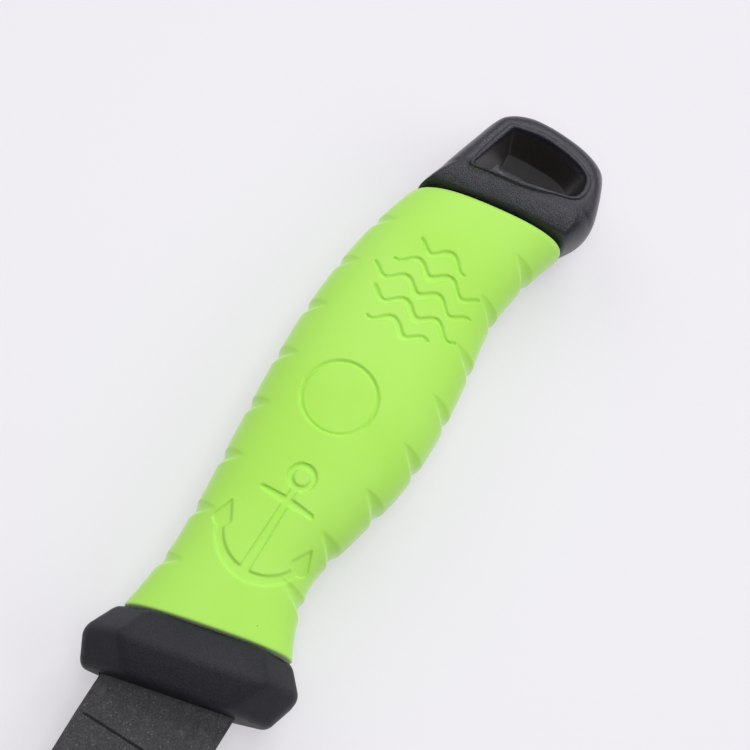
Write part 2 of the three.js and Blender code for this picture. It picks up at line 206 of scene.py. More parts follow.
class Skin:
    """A skin drawn out ring by ring with bmesh's extrude."""

    def __init__(self, first: Sequence[Vector]) -> None:
        """Starts the skin from a circle laid onto its first ring.

        Args:
            first: the points of the first ring.
        """
        self.bm = bmesh.new()
        made = bmesh.ops.create_circle(self.bm, cap_ends=False, segments=len(first), radius=1.0)
        self.ring: list[bmesh.types.BMVert] = list(made["verts"])
        self._lay(first)
        self.first_points = [p.copy() for p in first]
        self.first_edges = self._edges()

    def _lay(self, points: Sequence[Vector]) -> None:
        """Moves the open ring onto its points."""
        for vert, point in zip(self.ring, points):
            vert.co = point

    def _edges(self) -> list[bmesh.types.BMEdge]:
        """The edges round the open ring."""
        following = self.ring[1:] + self.ring[:1]
        return [self.bm.edges.get(ends) for ends in zip(self.ring, following)]

    def extend(self, points: Sequence[Vector], finish: int = 0) -> None:
        """Extrudes the open ring to its next place.

        Args:
            points: the points of the next ring, as many as in the first.
            finish: the material number of the faces drawn out.
        """
        made = bmesh.ops.extrude_edge_only(self.bm, edges=self._edges())
        for face in (g for g in made["geom"] if isinstance(g, bmesh.types.BMFace)):
            face.material_index = finish
        fresh = {g for g in made["geom"] if isinstance(g, bmesh.types.BMVert)}
        self.ring = [
            next(e.other_vert(v) for e in v.link_edges if e.other_vert(v) in fresh)
            for v in self.ring
        ]
        self._lay(points)

    def cap_end(self) -> None:
        """Closes the open ring with one face."""
        bmesh.ops.contextual_create(self.bm, geom=self._edges())

    def cap_start(self) -> None:
        """Closes the first ring with one face."""
        bmesh.ops.contextual_create(self.bm, geom=self.first_edges)

    def join_ends(self) -> None:
        """Brings the open ring round to the first one and merges them."""
        self.extend(self.first_points)
        bmesh.ops.remove_doubles(self.bm, verts=self.bm.verts, dist=MERGE_GAP)


def put_in_scene(name: str, data: bpy.types.ID) -> Object:
    """Makes an object from its data and puts it in the scene.

    Args:
        name: the object's name.
        data: its mesh, camera or lamp.

    Returns:
        The object.
    """
    thing = bpy.data.objects.new(name, data)
    bpy.context.scene.collection.objects.link(thing)
    return thing


def make_piece(
    bm: bmesh.types.BMesh,
    name: str,
    datum: Datum,
    materials: Sequence[Material],
    crisp_degrees: float,
) -> Object:
    """Turns a finished bmesh into an object of the scene, in the shared frame.

    Args:
        bm: the shape, in the knife's millimetres; it is freed here.
        name: the object's name.
        datum: the knife's place in the frame.
        materials: the finishes, in the order of the faces' material numbers.
        crisp_degrees: edges that turn by more than this stay crisp.

    Returns:
        The new object.
    """
    bmesh.ops.transform(bm, matrix=datum.matrix(), verts=bm.verts)
    bmesh.ops.recalc_face_normals(bm, faces=bm.faces)
    for face in bm.faces:
        face.smooth = True
    mesh = bpy.data.meshes.new(name)
    bm.to_mesh(mesh)
    bm.free()
    mesh.set_sharp_from_angle(angle=math.radians(crisp_degrees))
    for material in materials:
        mesh.materials.append(material)
    return put_in_scene(name, mesh)


# Finishes


def link(tree: NodeTree, source: Socket, target: Socket) -> None:
    """Links two sockets of a node tree."""
    tree.links.new(source, target)


def calculate(tree: NodeTree, operation: str, *terms: "Socket | float") -> Socket:
    """Adds a math node.

    Args:
        tree: the node tree.
        operation: what the node does.
        terms: what it works on, each a socket or a number.

    Returns:
        Its result.
    """
    node = tree.nodes.new("ShaderNodeMath")
    node.operation = operation
    for term, socket in zip(terms, node.inputs):
        if isinstance(term, float):
            socket.default_value = term
        else:
            link(tree, term, socket)
    return node.outputs["Value"]


def start_group(
    name: str, inputs: Sequence[str], outputs: Sequence[str]
) -> tuple[NodeTree, bpy.types.Node, bpy.types.Node]:
    """Starts a shader node group that reads a place on the piece.

    Args:
        name: the group's name.
        inputs: its numbers, besides the Vector of the place.
        outputs: the values that it puts out.

    Returns:
        The group's tree, the node of its inputs and the node of its outputs.
    """
    tree = bpy.data.node_groups.new(name, "ShaderNodeTree")
    face = tree.interface
    face.new_socket(name="Vector", in_out="INPUT", socket_type="NodeSocketVector")
    for way, names in (("INPUT", inputs), ("OUTPUT", outputs)):
        for socket in names:
            face.new_socket(name=socket, in_out=way, socket_type="NodeSocketFloat")
    return tree, tree.nodes.new("NodeGroupInput"), tree.nodes.new("NodeGroupOutput")


def mould_grain_group() -> NodeTree:
    """The fine grain of a moulded or coated surface, built once.

    Returns:
        A group with inputs Vector, Scale and Patch Scale, and outputs Height, Tone and Patch.
    """
    known = bpy.data.node_groups.get("mould_grain")
    if known:
        return known
    outputs = ("Height", "Tone", "Patch")
    tree, enter, leave = start_group("mould_grain", ("Scale", "Patch Scale"), outputs)
    grain = tree.nodes.new("ShaderNodeTexNoise")
    grain.inputs["Detail"].default_value = 3.0
    grain.inputs["Roughness"].default_value = 0.6
    cells = tree.nodes.new("ShaderNodeTexVoronoi")
    cells.feature = "F1"
    patch = tree.nodes.new("ShaderNodeTexNoise")
    patch.inputs["Detail"].default_value = 4.0
    for node, scale in ((grain, "Scale"), (cells, "Scale"), (patch, "Patch Scale")):
        link(tree, enter.outputs["Vector"], node.inputs["Vector"])
        link(tree, enter.outputs[scale], node.inputs["Scale"])
    tone = grain.outputs["Fac"]
    height = calculate(tree, "MULTIPLY_ADD", cells.outputs["Distance"], 0.6, tone)
    for name, source in zip(outputs, (height, tone, patch.outputs["Fac"])):
        link(tree, source, leave.inputs[name])
    return tree


def specks_group() -> NodeTree:
    """Scattered small specks, built once.

    Returns:
        A group with inputs Vector, Scale, Size and Share, and the output Mask.
    """
    known = bpy.data.node_groups.get("scattered_specks")
    if known:
        return known
    tree, enter, leave = start_group("scattered_specks", ("Scale", "Size", "Share"), ("Mask",))
    cells = tree.nodes.new("ShaderNodeTexVoronoi")
    cells.feature = "F1"
    for name in ("Vector", "Scale"):
        link(tree, enter.outputs[name], cells.inputs[name])
    parts = tree.nodes.new("ShaderNodeSeparateColor")
    link(tree, cells.outputs["Color"], parts.inputs["Color"])
    near = calculate(tree, "LESS_THAN", cells.outputs["Distance"], enter.outputs["Size"])
    chosen = calculate(tree, "LESS_THAN", parts.outputs["Red"], enter.outputs["Share"])
    link(tree, calculate(tree, "MULTIPLY", near, chosen), leave.inputs["Mask"])
    return tree


class MaterialSheet:
    """A material under construction: its nodes and the calls that every finish needs."""

    def __init__(self, name: str) -> None:
        """Starts a material with its surface shader and the piece's own coordinates.

        Args:
            name: the material's name.
        """
        self.material = bpy.data.materials.new(name)
        self.material.use_nodes = True
        self.tree = self.material.node_tree
        self.shader = self.tree.nodes["Principled BSDF"]
        self.place = self.tree.nodes.new("ShaderNodeTexCoord").outputs["Object"]

    def fix(self, **values: float) -> None:
        """Sets the shader's plain numbers, with _ for a space in a socket's name."""
        for name, value in values.items():
            self.shader.inputs[name.replace("_", " ")].default_value = value

    def feed(self, name: str, source: Socket) -> None:
        """Links what changes over the surface to one of the shader's sockets."""
        link(self.tree, source, self.shader.inputs[name])

    def group(self, tree: NodeTree, **values: float) -> bpy.types.Node:
        """Places a node group that reads the piece's coordinates.

        Args:
            tree: the group's tree.
            values: the group's own numbers, with _ for a space in a name.

        Returns:
            The group's node.
        """
        node = self.tree.nodes.new("ShaderNodeGroup")
        node.node_tree = tree
        link(self.tree, self.place, node.inputs["Vector"])
        for name, value in values.items():
            node.inputs[name.replace("_", " ")].default_value = value
        return node

    def ramp(self, source: Socket, span: Point, to: Point) -> Socket:
        """A value carried from one range to another and held inside it.

        Args:
            source: the value.
            span: the range that is carried over.
            to: the new range.

        Returns:
            The new value.
        """
        node = self.tree.nodes.new("ShaderNodeMapRange")
        for name, value in zip(("From Min", "From Max", "To Min", "To Max"), (*span, *to)):
            node.inputs[name].default_value = value
        link(self.tree, source, node.inputs["Value"])
        return node.outputs["Result"]

    def colour_mix(self, share: Socket, first: "Socket | Colour", second: Colour) -> Socket:
        """Two colours mixed by a share that changes over the surface.

        Args:
            share: 0 gives the first colour, 1 the second.
            first: a colour, or the socket of one.
            second: a colour.

        Returns:
            The mixed colour.
        """
        node = self.tree.nodes.new("ShaderNodeMix")
        node.data_type = "RGBA"
        factor, colour_a, colour_b = (node.inputs[i] for i in (0, 6, 7))
        link(self.tree, share, factor)
        if isinstance(first, tuple):
            colour_a.default_value = (*first, 1.0)
        else:
            link(self.tree, first, colour_a)
        colour_b.default_value = (*second, 1.0)
        return node.outputs[2]

    def bump(self, height: Socket, strength: float, distance: float) -> None:
        """Feeds a height into the shader's normal.

        Args:
            height: the height over the surface.
            strength: how much of it is used.
            distance: what a height of 1 stands for, in metres.
        """
        node = self.tree.nodes.new("ShaderNodeBump")
        node.inputs["Strength"].default_value = strength
        node.inputs["Distance"].default_value = distance
        link(self.tree, height, node.inputs["Height"])
        self.feed("Normal", node.outputs["Normal"])


@dataclass(frozen=True)
class SoftRubber:
    """Lime soft-touch rubber: a satin skin with a faint bloom and the odd grain of dust."""

    colour: Colour = (0.398, 0.766, 0.092)
    bloom: Colour = (0.422, 0.786, 0.116)
    dust: Colour = (0.22, 0.33, 0.10)
    roughness: Point = (0.5, 0.62)
    bloom_span: Point = (0.38, 0.66)

    def material(self) -> Material:
        """Builds the rubber's material.

        Returns:
            The material.
        """
        sheet = MaterialSheet("lime_soft_rubber")
        grain = sheet.group(mould_grain_group(), Scale=5200.0, Patch_Scale=55.0)
        dust = sheet.group(specks_group(), Scale=330.0, Size=0.05, Share=0.03)
        share = sheet.ramp(grain.outputs["Patch"], self.bloom_span, FULL_SPAN)
        tone = sheet.colour_mix(share, self.colour, self.bloom)
        sheet.feed("Base Color", sheet.colour_mix(dust.outputs["Mask"], tone, self.dust))
        sheet.feed("Roughness", sheet.ramp(grain.outputs["Tone"], NOISE_SPAN, self.roughness))
        sheet.fix(Specular_IOR_Level=0.28, Sheen_Weight=0.5, Sheen_Roughness=0.4)
        sheet.bump(grain.outputs["Height"], 0.10, 0.00006)
        return sheet.material


@dataclass(frozen=True)
class GrainedPlastic:
    """Black moulded plastic with a fine spark grain, whose lighter specks are painted glints in
    its colour.
    """

    name: str = "black_grained_plastic"
    colour: Colour = (0.0115, 0.0110, 0.0175)
    painted_glint: Colour = (0.030, 0.029, 0.046)
    painted_glint_span: Point = (0.42, 0.68)
    roughness: Point = (0.25, 0.36)
    grain_depth: float = 0.00009
    specular: float = 0.5

    def material(self) -> Material:
        """Builds the plastic's material.

        Returns:
            The material.
        """
        sheet = MaterialSheet(self.name)
        grain = sheet.group(mould_grain_group(), Scale=4600.0, Patch_Scale=90.0)
        # Painted glints: the grain's specks are lightened in the base colour towards the glint
        # colour.
        share = sheet.ramp(grain.outputs["Tone"], self.painted_glint_span, FULL_SPAN)
        sheet.feed("Base Color", sheet.colour_mix(share, self.colour, self.painted_glint))
        sheet.feed("Roughness", sheet.ramp(grain.outputs["Patch"], NOISE_SPAN, self.roughness))
        sheet.fix(Specular_IOR_Level=self.specular)
        sheet.bump(grain.outputs["Height"], 0.65, self.grain_depth)
        return sheet.material


@dataclass(frozen=True)
class BladeCoat:
    """Matt black non-stick coating: pale specks, and pale scuffs where it meets the guard."""

    colour: Colour = (0.020, 0.0195, 0.025)
    fleck: Colour = (0.115, 0.112, 0.122)
    fleck_share: float = 0.6
    mottle_span: Point = (0.45, 0.75)
    scuff: Colour = (0.12, 0.118, 0.125)
    scuff_span: Point = (0.52, 0.70)
    scuff_fade: Point = (-0.0105, -0.0175)
    scuff_least: float = 0.08
    half_strength: Point = (0.0, 0.5)
    roughness: Point = (0.46, 0.6)

    def material(self) -> Material:
        """Builds the coating's material.

        Returns:
            The material.
        """
        sheet = MaterialSheet("black_blade_coating")
        grain = sheet.group(mould_grain_group(), Scale=3000.0, Patch_Scale=420.0)
        flecks = sheet.group(specks_group(), Scale=2000.0, Size=0.36, Share=0.14)
        mottle = sheet.ramp(grain.outputs["Tone"], self.mottle_span, self.half_strength)
        ground = sheet.colour_mix(mottle, self.colour, self.fleck)
        dots = calculate(sheet.tree, "MULTIPLY", flecks.outputs["Mask"], self.fleck_share)
        dotted = sheet.colour_mix(dots, ground, self.fleck)
        sheet.feed("Base Color", sheet.colour_mix(self._rubbed(sheet, grain), dotted, self.scuff))
        sheet.feed("Roughness", sheet.ramp(grain.outputs["Patch"], NOISE_SPAN, self.roughness))
        sheet.fix(Specular_IOR_Level=0.3)
        sheet.bump(grain.outputs["Height"], 0.28, 0.00008)
        return sheet.material

    def _rubbed(self, sheet: MaterialSheet, grain: bpy.types.Node) -> Socket:
        """Where the coating is scuffed: in patches that fade out in front of the guard.

        Args:
            sheet: the material.
            grain: its node of the mould grain.

        Returns:
            The mask of the scuffs.
        """
        parts = sheet.tree.nodes.new("ShaderNodeSeparateXYZ")
        link(sheet.tree, sheet.place, parts.inputs["Vector"])
        near = sheet.ramp(parts.outputs["X"], self.scuff_fade, (self.scuff_least, 1.0))
        patches = sheet.ramp(grain.outputs["Patch"], self.scuff_span, self.half_strength)
        return calculate(sheet.tree, "MULTIPLY", patches, near)


@dataclass(frozen=True)
class GroundSteel:
    """Bare ground steel with a faint grain."""

    name: str
    colour: Colour = (0.58, 0.58, 0.60)
    shade: Colour = (0.464, 0.464, 0.48)
    roughness: Point = (0.24, 0.42)

    def material(self) -> Material:
        """Builds the steel's material.

        Returns:
            The material.
        """
        sheet = MaterialSheet(self.name)
        grain = sheet.group(mould_grain_group(), Scale=2600.0, Patch_Scale=200.0)
        tone = sheet.colour_mix(grain.outputs["Patch"], self.colour, self.shade)
        sheet.feed("Base Color", tone)
        sheet.feed("Roughness", sheet.ramp(grain.outputs["Tone"], NOISE_SPAN, self.roughness))
        sheet.fix(Metallic=1.0)
        sheet.bump(grain.outputs["Height"], 0.1, 0.00004)
        return sheet.material


@dataclass(frozen=True)
class PaleBoard:
    """The plain pale floor: matt board, part of its paleness shown to the camera unshaded."""

    colour: Colour = (0.86, 0.85, 0.885)
    plain: Colour = (0.845, 0.820, 0.868)
    plain_share: float = 0.5

    def material(self) -> Material:
        """Builds the floor's material.

        Returns:
            The material.
        """
        sheet = MaterialSheet("pale_board")
        sheet.shader.inputs["Base Color"].default_value = (*self.colour, 1.0)
        sheet.fix(Roughness=0.9, Specular_IOR_Level=0.1)
        tree = sheet.tree
        path = tree.nodes.new("ShaderNodeLightPath")
        seen = path.outputs["Is Camera Ray"]
        for kind in ("Is Glossy Ray", "Is Transmission Ray"):
            seen = calculate(tree, "MAXIMUM", seen, path.outputs[kind])
        pale = tree.nodes.new("ShaderNodeEmission")
        pale.inputs["Color"].default_value = (*self.plain, 1.0)
        both = tree.nodes.new("ShaderNodeMixShader")
        share = calculate(tree, "MULTIPLY", seen, self.plain_share)
        sources = (share, sheet.shader.outputs["BSDF"], pale.outputs["Emission"])
        for source, target in zip(sources, both.inputs):
            link(tree, source, target)
        link(tree, both.outputs["Shader"], tree.nodes["Material Output"].inputs["Surface"])
        return sheet.material


# The knife's pieces


@dataclass
class Blade:
    """Fillet blade with its hidden tang: one strip of coated steel."""

    length: float = 178.0
    tip_gap: float = 0.6
    width: float = 25.0
    thickness: float = 2.2
    tip_thickness: float = 1.1
    spine_y: float = -12.5
    spine_dip: float = 2.4
    dip_power: float = 1.2
    tip_rise: float = 1.2
    rise_power: float = 4.0
    even_taper: float = 0.34
    belly_power: float = 3.2
    ricasso: float = 9.0
    plunge_run: float = 0.5
    grind_margin: float = 1.2
    grind_sink: float = 0.1
    edge_bevel: float = 1.1
    edge_shoulder: float = 0.55
    edge_land: float = 0.08
    margin_share: float = 0.3
    corner: float = 0.16
    corner_share: Point = (0.1, 0.3)
    tang_end: float = -92.0
    tang_half: float = 7.0
    tang_front: float = -6.4
    tang_step: float = 0.2
    sharpened_from: float = 19.0
    stations: int = 150
    crowding: float = 1.5
    crisp_degrees: float = 12.0

    def tip_x(self) -> float:
        """The tip's place along X."""
        return self.length - self.tip_gap

    def heel_y(self) -> float:
        """The cutting edge's place along Y at the heel."""
        return self.spine_y + self.width

    def _share(self, x: float) -> float:
        """How far along the ground blade a place is, from 0 to 1."""
        return clamp((x - self.ricasso) / (self.length - self.ricasso))

    def back(self, x: float) -> float:
        """The back of the blade at one place.

        Args:
            x: the place along the knife.

        Returns:
            The back's place along Y.
        """
        t = self._share(x)
        dip = self.spine_dip * math.sin(math.pi * t**self.dip_power)
        return self.spine_y + dip + self.tip_rise * t**self.rise_power

    def edge(self, x: float) -> float:
        """The cutting edge at one place.

        Args:
            x: the place along the knife.

        Returns:
            The edge's place along Y.
        """
        t = self._share(x)
        belly = 1.0 - math.sqrt(max(0.0, 1.0 - t**self.belly_power))
        return mix(self.heel_y(), self.spine_y + self.tip_rise, mix(belly, t, self.even_taper))

    def ring(self, x: float, ground: float, back: float, edge: float) -> list[Vector]:
        """One cross-section.

        Args:
            x: its place along the knife.
            ground: 0 on flat steel, 1 where the grind has its full depth.
            back: the back's place along Y.
            edge: the edge's place along Y.

        Returns:
            The section's points, right round.
        """
        width = edge - back
        half = mix(self.thickness, self.tip_thickness, self._share(x)) / 2
        corner = min(self.corner, half * self.corner_share[1], width * self.corner_share[0])
        margin = width * self.margin_share
        grind_top = back + max(corner, min(self.grind_margin, margin))
        bevel_top = edge - min(self.edge_bevel, margin)
        shoulder = mix(half, min(self.edge_shoulder / 2, half), ground)
        land = mix(half, self.edge_land / 2, ground)
        side = [
            (back, half - corner),
            (back + corner, half),
            (grind_top, half - self.grind_sink * ground * min(1.0, half)),
            (bevel_top, shoulder),
            (edge, land),
        ]
        turned = [(y, -z) for y, z in reversed(side)]
        return [Vector((x, y, z)) for y, z in side + turned]

    def build(self, datum: Datum, coat: Material, bare: Material) -> Object:
        """Models the blade and its tang.

        Args:
            datum: the knife's place in the frame.
            coat: the coating.
            bare: the steel of the sharpened bevel.

        Returns:
            The blade.
        """
        half = self.tang_half
        skin = Skin(self.ring(self.tang_end, 0.0, -half, half))
        skin.extend(self.ring(self.tang_front - self.tang_step, 0.0, -half, half))
        skin.extend(self.ring(self.tang_front, 0.0, self.spine_y, self.heel_y()))
        plunge = self.ricasso + self.plunge_run
        places = [self.ricasso, plunge]
        for share in spread(0.0, 1.0, self.stations)[1:]:
            places.append(mix(plunge, self.tip_x(), 1.0 - (1.0 - share) ** self.crowding))
        for x in places:
            ground = 1.0 if x >= plunge else 0.0
            skin.extend(self.ring(x, ground, self.back(x), self.edge(x)))
        skin.cap_start()
        skin.cap_end()
        for face in skin.bm.faces:
            middle = face.calc_center_median()
            near_edge = middle.y > self.edge(middle.x) - self.edge_bevel
            if near_edge and middle.x > self.sharpened_from:
                face.material_index = 1
        return make_piece(skin.bm, "blade_skin", datum, [coat, bare], self.crisp_degrees)


@dataclass(frozen=True)
class GuardSection:
    """One eight-cornered section of the guard, square to its slant.

    Its setback is the distance behind X = 0, its middle lies along the guard, its length and
    height are halves, and cut is how far each corner is cut off along the guard and in height.
    """

    setback: float
    middle: float
    length: float
    height: float
    cut: Point


@dataclass
class Guard:
    """Black collar set at a slant across the knife and ridged all the way round."""

    front: GuardSection = GuardSection(1.2, 1.4, 18.0, 9.0, (8.5, 6.6))
    ridge: GuardSection = GuardSection(7.6, 2.4, 20.65, 12.25, (7.0, 7.0))
    rear: GuardSection = GuardSection(13.8, 3.0, 16.9, 9.9, (6.5, 7.4))
    soft_edge: float = 1.35
    soft_steps: int = 6
    slot_half_width: float = 12.9
    slot_half_height: float = 1.35
    slot_depth: float = 2.4
    slot_draft: float = 0.12
    flat_within: float = 0.05
    facing: float = 0.999
    near_middle: Point = (2.0, 0.3)
    crisp_degrees: float = 30.0

    def point(self, setback: float, v: float, z: float) -> Vector:
        """A point given by its setback, its place along the guard and its height.

        Args:
            setback: distance behind X = 0, square to the guard.
            v: place along the guard.
            z: height.

        Returns:
            The point on the knife's axes.
        """
        c, s = math.cos(GUARD_SLANT), math.sin(GUARD_SLANT)
        return Vector((-setback * c - v * s, -setback * s + v * c, z))

    def ring(self, section: GuardSection) -> list[Vector]:
        """The outline of one section.

        Args:
            section: the section.

        Returns:
            Its eight corners.
        """
        long, high = section.length, section.height
        quarter = [(long, high - section.cut[1]), (long - section.cut[0], high)]
        half = quarter + [(-v, z) for v, z in reversed(quarter)]
        return [
            self.point(section.setback, section.middle + side * v, side * z)
            for side in (1, -1)
            for v, z in half
        ]

    def build(self, datum: Datum, plastic: Material) -> Object:
        """Models the guard with its softened edges and the slot that the blade passes.

        Args:
            datum: the knife's place in the frame.
            plastic: its finish.

        Returns:
            The guard.
        """
        skin = Skin(self.ring(self.front))
        skin.extend(self.ring(self.ridge))
        skin.extend(self.ring(self.rear))
        skin.cap_start()
        skin.cap_end()
        bm = skin.bm
        bmesh.ops.recalc_face_normals(bm, faces=bm.faces)
        bmesh.ops.bevel(
            bm,
            geom=bm.edges[:],
            offset=self.soft_edge,
            offset_type="OFFSET",
            affect="EDGES",
            segments=self.soft_steps,
            profile=0.5,
            clamp_overlap=True,
            material=-1,
        )
        self._cut_slot(bm)
        return make_piece(bm, "guard_skin", datum, [plastic], self.crisp_degrees)

    def _front_faces(self, bm: bmesh.types.BMesh) -> list[bmesh.types.BMFace]:
        """Finds the faces that lie in the guard's front plane.

        Args:
            bm: the guard.

        Returns:
            The faces.
        """
        ahead = self.point(-1.0, 0.0, 0.0)
        return [
            f
            for f in bm.faces
            if f.normal.dot(ahead) > self.facing
            and abs(f.calc_center_median().dot(ahead) + self.front.setback) < self.flat_within
        ]

    def _cut_slot(self, bm: bmesh.types.BMesh) -> None:
        """Opens the shallow slot round the blade in the front face.

        Args:
            bm: the guard.
        """
        across, up = self.point(0.0, 1.0, 0.0), Vector((0, 0, 1))
        for normal, reach in ((up, self.slot_half_height), (across, self.slot_half_width)):
            for side in (1, -1):
                faces = self._front_faces(bm)
                parts = {e for f in faces for e in f.edges} | {v for f in faces for v in f.verts}
                bmesh.ops.bisect_plane(
                    bm,
                    geom=list(parts) + faces,
                    plane_co=normal * reach * side,
                    plane_no=normal,
                    dist=MERGE_GAP,
                )
        bm.normal_update()
        wide, high = self.near_middle
        middle = []
        for face in self._front_faces(bm):
            centre = face.calc_center_median()
            if abs(centre.dot(across)) < wide and abs(centre.z) < high:
                middle.append(face)
        bmesh.ops.inset_individual(
            bm, faces=middle, thickness=self.slot_draft, depth=-self.slot_depth
        )


@dataclass(frozen=True)
class Stroke:
    """One moulded-in line: points on the face, and its widths at start, middle and end."""

    points: tuple[Point, ...]
    widths: tuple[float, float, float] = (1.0, 1.0, 1.0)

    def reach(self, x: float, y: float) -> float:
        """How deep inside the line a point is.

        Args:
            x: the point's x.
            y: the point's y.

        Returns:
            The line's half width less the point's distance from its middle, in millimetres.
        """
        best = -math.inf
        count = len(self.points) - 1
        start, middle, end = self.widths
        for i in range(count):
            (ax, ay), (bx, by) = self.points[i], self.points[i + 1]
            dx, dy = bx - ax, by - ay
            t = clamp(((x - ax) * dx + (y - ay) * dy) / (dx * dx + dy * dy))
            gone = 2 * (i + t) / count
            width = mix(start, middle, gone) if gone < 1 else mix(middle, end, gone - 1)
            best = max(best, width / 2 - math.hypot(x - ax - dx * t, y - ay - dy * t))
        return best


@dataclass(frozen=True)
class Motif:
    """A group of moulded-in lines."""

    strokes: tuple[Stroke, ...]
    margin: float = 1.5

    def box(self) -> tuple[float, float, float, float]:
        """The motif's box, with a margin.

        Returns:
            Its lowest and highest x, then its lowest and highest y.
        """
        xs = [p[0] for s in self.strokes for p in s.points]
        ys = [p[1] for s in self.strokes for p in s.points]
        m = self.margin
        return min(xs) - m, max(xs) + m, min(ys) - m, max(ys) + m

    def reach(self, x: float, y: float) -> float:
        """How deep inside the motif's lines a point is, in millimetres."""
        return max(stroke.reach(x, y) for stroke in self.strokes)


def arc(centre: Point, radius: float, start: float, stop: float, steps: int) -> tuple[Point, ...]:
    """Points of an arc.

    Args:
        centre: its centre.
        radius: its radius.
        start: its first angle, in degrees.
        stop: its last angle, in degrees.
        steps: how many pieces it has.

    Returns:
        The points.
    """
    turns = [math.radians(a) for a in spread(start, stop, steps)]
    return tuple(
        (centre[0] + radius * math.cos(a), centre[1] + radius * math.sin(a)) for a in turns
    )


@dataclass(frozen=True)
class Anchor:
    """A plain anchor, its ring towards the butt; x and y are the middle of its shank."""

    x: float
    y: float
    ring_back: float = 11.0
    ring_radius: float = 2.2
    ring_width: float = 1.15
    shank: Point = (-8.8, 10.0)
    stock_back: float = 5.8
    stock_half: float = 5.2
    arms_ahead: float = 1.2
    arms_radius: float = 8.6
    arms_degrees: float = 80.0
    fluke: Point = (3.6, 0.2)

    def motif(self) -> Motif:
        """Draws the anchor.

        Returns:
            Its lines.
        """
        x, y = self.x, self.y
        stock = x - self.stock_back
        reach = self.arms_degrees
        arms = arc((x + self.arms_ahead, y), self.arms_radius, -reach, reach, 26)
        ring = arc((x - self.ring_back, y), self.ring_radius, 0.0, 360.0, 22)
        strokes = [
            Stroke(ring, (self.ring_width,) * 3),
            Stroke(((x + self.shank[0], y), (x + self.shank[1], y)), (1.2, 1.6, 2.0)),
            Stroke(((stock, y - self.stock_half), (stock, y + self.stock_half)), (0.9, 1.6, 0.9)),
            Stroke(arms, (1.3, 2.3, 1.3)),
        ]
        for root, side in ((arms[0], -1), (arms[-1], 1)):
            tip = (root[0] - self.fluke[0], root[1] + self.fluke[1] * side)
            strokes.append(Stroke((root, tip), (3.6, 1.9, 0.2)))
        return Motif(tuple(strokes))


@dataclass(frozen=True)
class Ripples:
    """Rows of ripples; x and y are their middle, and each row has its place and half length."""

    x: float
    y: float
    rows: tuple[Point, ...] = ((9.0, 6.2), (4.6, 9.4), (0.2, 10.6), (-4.2, 9.0), (-8.6, 5.4))
    stagger: float = 0.6
    swing: float = 1.15
    wave: float = 7.2
    lag: float = 0.9
    steps: int = 30

    def motif(self) -> Motif:
        """Draws the ripples.

        Returns:
            Their lines.
        """
        strokes = []
        for row, (place, half) in enumerate(self.rows):
            middle = self.y + (self.stagger if row % 2 else -self.stagger)
            points = []
            for v in spread(-half, half, self.steps):
                bend = self.swing * math.sin(math.tau * v / self.wave + row * self.lag)
                points.append((self.x + place + bend, middle + v))
            strokes.append(Stroke(tuple(points), (0.4, 1.5, 0.4)))
        return Motif(tuple(strokes))


@dataclass(frozen=True)
class Scoops:
    """The row of crescent scoops along one flank."""

    first: float
    depth: float
    reach: float
    count: int = 8
    pitch: float = 11.25
    run: float = 2.7
    step: float = 0.9
    lean: float = 0.5
    fade: float = 0.8

    def depth_at(self, x: float, inward: float) -> float:
        """How deep the scoops are at one point of the flank.

        Args:
            x: the point's x.
            inward: its distance in from the flank's outline.

        Returns:
            The depth, in millimetres.
        """
        taper = clamp(1.0 - inward / self.reach) ** self.fade
        if taper <= 0.0:
            return 0.0
        cut = 0.0
        for i in range(self.count):
            away = x + self.lean * inward - (self.first - i * self.pitch)
            side = away / self.step if away > 0 else -away / (self.run * taper)
            share = 1.0 - min(side, 1.0)
            cut = max(cut, share if away > 0 else share * (2.0 - share))
        return self.depth * taper * cut


